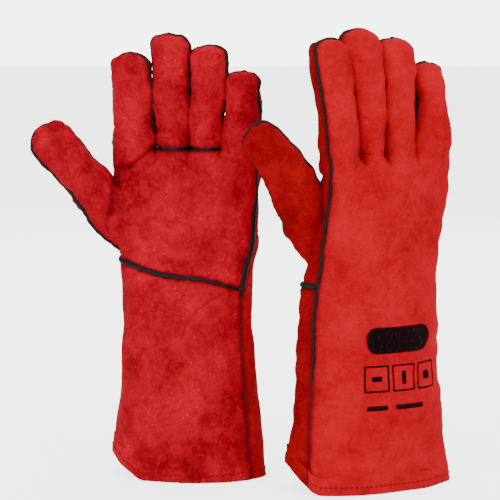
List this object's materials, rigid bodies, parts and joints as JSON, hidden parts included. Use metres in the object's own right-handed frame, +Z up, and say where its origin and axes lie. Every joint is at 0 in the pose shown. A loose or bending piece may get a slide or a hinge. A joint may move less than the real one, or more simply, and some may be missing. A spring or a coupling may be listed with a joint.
{
  "type": "welding gloves",
  "caption": "Pair of long-cuffed split-leather welding gauntlets with black seam welts, fleece-lined hands and canvas-lined cuffs; digits bend at the knuckles.",
  "frame": {"origin": "on the ground under the middle of the pair's outline", "axes": "+Z up from the cuffs to the fingertips, +X from the left glove to the right one, +Y away from the side that shows the left palm and the right back"},
  "size_m": [0.3242, 0.132, 0.3552],
  "materials": {
    "red_leather": "napped suede",
    "black_leather": "smooth",
    "fleece": "brushed cotton",
    "canvas": "plain weave",
    "thread": "twisted thread"
  },
  "bodies": {
    "left_hand": {"left_back_panel": "red_leather", "left_palm_panel": "red_leather", "left_cuff_front": "red_leather", "left_thumb_side_welt": "black_leather", "left_little_side_welt": "black_leather", "left_wrist_welt": "black_leather", "left_finger_base_welt": "black_leather", "left_hem_stitching": "thread", "left_hand_lining": "fleece", "left_cuff_lining": "canvas"},
    "left_index": {"left_index_back": "red_leather", "left_index_front": "red_leather", "left_index_welt": "black_leather", "left_index_lining": "fleece"},
    "left_middle": {"left_middle_back": "red_leather", "left_middle_front": "red_leather", "left_middle_welt": "black_leather", "left_middle_lining": "fleece"},
    "left_ring": {"left_ring_back": "red_leather", "left_ring_front": "red_leather", "left_ring_welt": "black_leather", "left_ring_lining": "fleece"},
    "left_little": {"left_little_back": "red_leather", "left_little_front": "red_leather", "left_little_welt": "black_leather", "left_little_lining": "fleece"},
    "left_thumb": {"left_thumb_back": "red_leather", "left_thumb_front": "red_leather", "left_thumb_welt": "black_leather", "left_thumb_lining": "fleece"},
    "right_hand": {"right_back_panel": "red_leather", "right_palm_panel": "red_leather", "right_cuff_front": "red_leather", "right_thumb_side_welt": "black_leather", "right_little_side_welt": "black_leather", "right_wrist_welt": "black_leather", "right_finger_base_welt": "black_leather", "right_hem_stitching": "thread", "right_hand_lining": "fleece", "right_cuff_lining": "canvas"},
    "right_index": {"right_index_back": "red_leather", "right_index_front": "red_leather", "right_index_welt": "black_leather", "right_index_lining": "fleece"},
    "right_middle": {"right_middle_back": "red_leather", "right_middle_front": "red_leather", "right_middle_welt": "black_leather", "right_middle_lining": "fleece"},
    "right_ring": {"right_ring_back": "red_leather", "right_ring_front": "red_leather", "right_ring_welt": "black_leather", "right_ring_lining": "fleece"},
    "right_little": {"right_little_back": "red_leather", "right_little_front": "red_leather", "right_little_welt": "black_leather", "right_little_lining": "fleece"},
    "right_thumb": {"right_thumb_back": "red_leather", "right_thumb_front": "red_leather", "right_thumb_welt": "black_leather", "right_thumb_lining": "fleece"}
  },
  "joints": [
    {"name": "left_index_bend", "type": "hinge", "parent": "left_hand", "child": "left_index", "pos_m": [-0.08618, 0.01346, 0.266], "axis": [0.9903, -0.1392, 0], "range_deg": [0, 40], "stiffness_Nm_per_rad": 0.1},
    {"name": "left_middle_bend", "type": "hinge", "parent": "left_hand", "child": "left_middle", "pos_m": [-0.054, 0.00894, 0.266], "axis": [0.9903, -0.1392, 0], "range_deg": [0, 40], "stiffness_Nm_per_rad": 0.1},
    {"name": "left_ring_bend", "type": "hinge", "parent": "left_hand", "child": "left_ring", "pos_m": [-0.02577, 0.00497, 0.266], "axis": [0.9903, -0.1392, 0], "range_deg": [0, 40], "stiffness_Nm_per_rad": 0.1},
    {"name": "left_little_bend", "type": "hinge", "parent": "left_hand", "child": "left_little", "pos_m": [0.00443, 0.00073, 0.266], "axis": [0.9903, -0.1392, 0], "range_deg": [0, 40], "stiffness_Nm_per_rad": 0.1},
    {"name": "left_thumb_bend", "type": "hinge", "parent": "left_hand", "child": "left_thumb", "pos_m": [-0.10165, 0.00756, 0.208], "axis": [0, 0, 1], "range_deg": [0, 35], "stiffness_Nm_per_rad": 0.1},
    {"name": "right_index_bend", "type": "hinge", "parent": "right_hand", "child": "right_index", "pos_m": [0.056, -0.02362, 0.266], "axis": [-0.891, -0.454, 0], "range_deg": [0, 40], "stiffness_Nm_per_rad": 0.1},
    {"name": "right_middle_bend", "type": "hinge", "parent": "right_hand", "child": "right_middle", "pos_m": [0.08496, -0.00887, 0.266], "axis": [-0.891, -0.454, 0], "range_deg": [0, 40], "stiffness_Nm_per_rad": 0.1},
    {"name": "right_ring_bend", "type": "hinge", "parent": "right_hand", "child": "right_ring", "pos_m": [0.11035, 0.00407, 0.266], "axis": [-0.891, -0.454, 0], "range_deg": [0, 40], "stiffness_Nm_per_rad": 0.1},
    {"name": "right_little_bend", "type": "hinge", "parent": "right_hand", "child": "right_little", "pos_m": [0.13752, 0.01792, 0.266], "axis": [-0.891, -0.454, 0], "range_deg": [0, 40], "stiffness_Nm_per_rad": 0.1},
    {"name": "right_thumb_bend", "type": "hinge", "parent": "right_hand", "child": "right_thumb", "pos_m": [0.03945, -0.02308, 0.208], "axis": [0, 0, -1], "range_deg": [0, 35], "stiffness_Nm_per_rad": 0.1},
    {"name": "right_glove_slide", "type": "slide", "parent": "left_hand", "child": "right_hand", "axis": [0, -1, 0], "range_m": [0, 0.12]}
  ]
}
